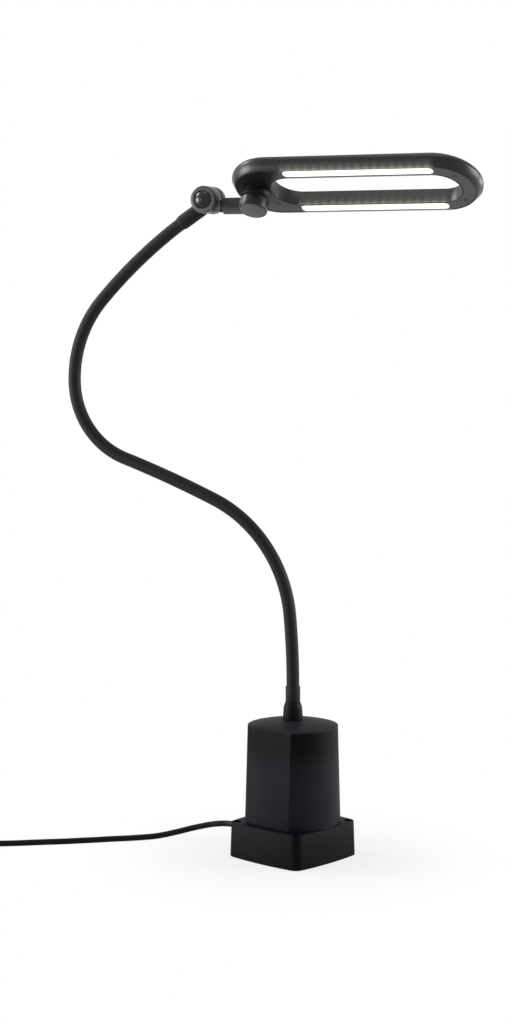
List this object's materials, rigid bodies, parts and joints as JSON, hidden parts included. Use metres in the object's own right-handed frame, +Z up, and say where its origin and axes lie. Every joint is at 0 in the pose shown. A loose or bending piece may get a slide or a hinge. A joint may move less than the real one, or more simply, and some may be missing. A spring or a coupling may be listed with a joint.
{
  "type": "workbench light",
  "caption": "Gooseneck workbench light with a slotted stadium-shaped LED head, tilt hub, swivel arm and weighted tower base.",
  "frame": {"origin": "centre of the anti-slip pad's underside, on the table, under the neck's upright foot", "axes": "+Z up; the bent neck lies in the XZ plane; +X is the way that the head points from its hub"},
  "size_m": [0.6574, 0.1713, 0.6977],
  "materials": {
    "pad_rubber": "matt",
    "foot_plastic": "fine grain",
    "tower_plastic": "fine grain",
    "ballast_iron": "as cast",
    "steel": "satin",
    "board_green": "solder mask",
    "winding_tape": "taped winding",
    "capacitor_sleeve": "printed sleeve, unmarked",
    "terminal_nylon": "moulded",
    "switch_black": "semi-gloss",
    "collar_black": "satin powder coat",
    "neck_skin": "satin sleeve",
    "neck_steel": "satin",
    "lead_pvc": "satin",
    "plug_black": "moulded",
    "pin_brass": "plated",
    "disc_grey": "anodised dark",
    "barrel_grey": "satin",
    "friction_fibre": "fibre",
    "dome_gloss": "polished",
    "cap_black": "moulded",
    "arm_black": "satin black coat",
    "head_plastic": "fine grain",
    "plate_plastic": "fine grain",
    "diffuser_white": "lit diffuser",
    "rail_aluminium": "extruded",
    "board_white": "white solder mask",
    "chip_yellow": "encapsulated"
  },
  "bodies": {
    "base": {"anti_slip_pad": "pad_rubber", "foot_tray": "foot_plastic", "ballast_block": "ballast_iron", "ballast_bolt": "steel", "tower_shell": "tower_plastic", "tower_screws": "steel", "board_standoffs": "steel", "driver_board": "board_green", "driver_transformer": "winding_tape", "driver_capacitors": "capacitor_sleeve", "terminal_block": "terminal_nylon", "switch_bezel": "switch_black", "neck_collar": "collar_black", "neck_stud": "steel", "neck_washer": "steel", "neck_nut": "steel", "lower_sleeve": "neck_skin", "strain_relief": "lead_pvc", "mains_lead": "lead_pvc", "lead_coil": "lead_pvc", "coil_tie": "plug_black", "plug_body": "plug_black", "plug_pins": "pin_brass", "neck_sleeve_1": "neck_skin", "neck_core_1": "neck_steel"},
    "rocker": {"switch_rocker": "switch_black"},
    "neck_2": {"neck_sleeve_2": "neck_skin", "neck_core_2": "neck_steel"},
    "neck_3": {"neck_sleeve_3": "neck_skin", "neck_core_3": "neck_steel"},
    "neck_4": {"neck_sleeve_4": "neck_skin", "neck_core_4": "neck_steel"},
    "neck_5": {"neck_sleeve_5": "neck_skin", "neck_core_5": "neck_steel"},
    "neck_6": {"neck_sleeve_6": "neck_skin", "neck_core_6": "neck_steel", "upper_sleeve": "neck_skin", "neck_ferrule": "steel", "tilt_disc_rear": "disc_grey", "tilt_washer": "friction_fibre", "tilt_bolt": "steel", "tilt_nut": "steel", "rear_cap": "cap_black"},
    "hub": {"tilt_barrel": "barrel_grey", "dome_cap": "dome_gloss", "roll_grub_screw": "steel"},
    "arm": {"arm_spigot": "steel", "arm_bar": "arm_black", "knuckle_cap": "barrel_grey"},
    "head": {"swivel_bolt": "steel", "swivel_washer": "friction_fibre", "swivel_nut": "steel", "head_shell": "head_plastic", "head_frame": "plate_plastic", "head_screws": "steel", "led_rails": "rail_aluminium", "led_boards": "board_white", "led_chips": "chip_yellow", "lens_near": "diffuser_white", "lens_far": "diffuser_white"}
  },
  "joints": [
    {"name": "neck_bend_1", "type": "hinge", "parent": "base", "child": "neck_2", "pos_m": [-0.00345, 0, 0.24559], "axis": [0, 1, 0], "range_deg": [-25, 25]},
    {"name": "neck_sway_1", "type": "hinge", "parent": "neck_2", "child": "neck_3", "pos_m": [-0.0854, 0, 0.35943], "axis": [0.4067, 0, 0.9135], "range_deg": [-25, 25]},
    {"name": "neck_bend_2", "type": "hinge", "parent": "neck_3", "child": "neck_4", "pos_m": [-0.18493, 0, 0.39863], "axis": [0, -1, 0], "range_deg": [-25, 25]},
    {"name": "neck_sway_2", "type": "hinge", "parent": "neck_4", "child": "neck_5", "pos_m": [-0.24105, 0, 0.47518], "axis": [0.9997, 0, 0.0262], "range_deg": [-25, 25]},
    {"name": "neck_bend_3", "type": "hinge", "parent": "neck_5", "child": "neck_6", "pos_m": [-0.20962, 0, 0.55925], "axis": [0, 1, 0], "range_deg": [-25, 25]},
    {"name": "tilt", "type": "hinge", "parent": "neck_6", "child": "hub", "pos_m": [-0.08627, 0, 0.65872], "axis": [0, 1, 0], "range_deg": [-80, 80]},
    {"name": "roll", "type": "hinge", "parent": "hub", "child": "arm", "pos_m": [-0.08627, -0.01455, 0.65232], "axis": [1, 0, 0], "range_deg": [-90, 60]},
    {"name": "swivel", "type": "hinge", "parent": "arm", "child": "head", "pos_m": [-0.03627, -0.00737, 0.66526], "axis": [0, 0.4848, 0.8746], "range_deg": [-55, 55]},
    {"name": "rocker_switch", "type": "hinge", "parent": "base", "child": "rocker", "pos_m": [0.0161, 0.04194, 0.102], "axis": [0.9336, -0.3584, 0], "range_deg": [-14, 0]}
  ]
}
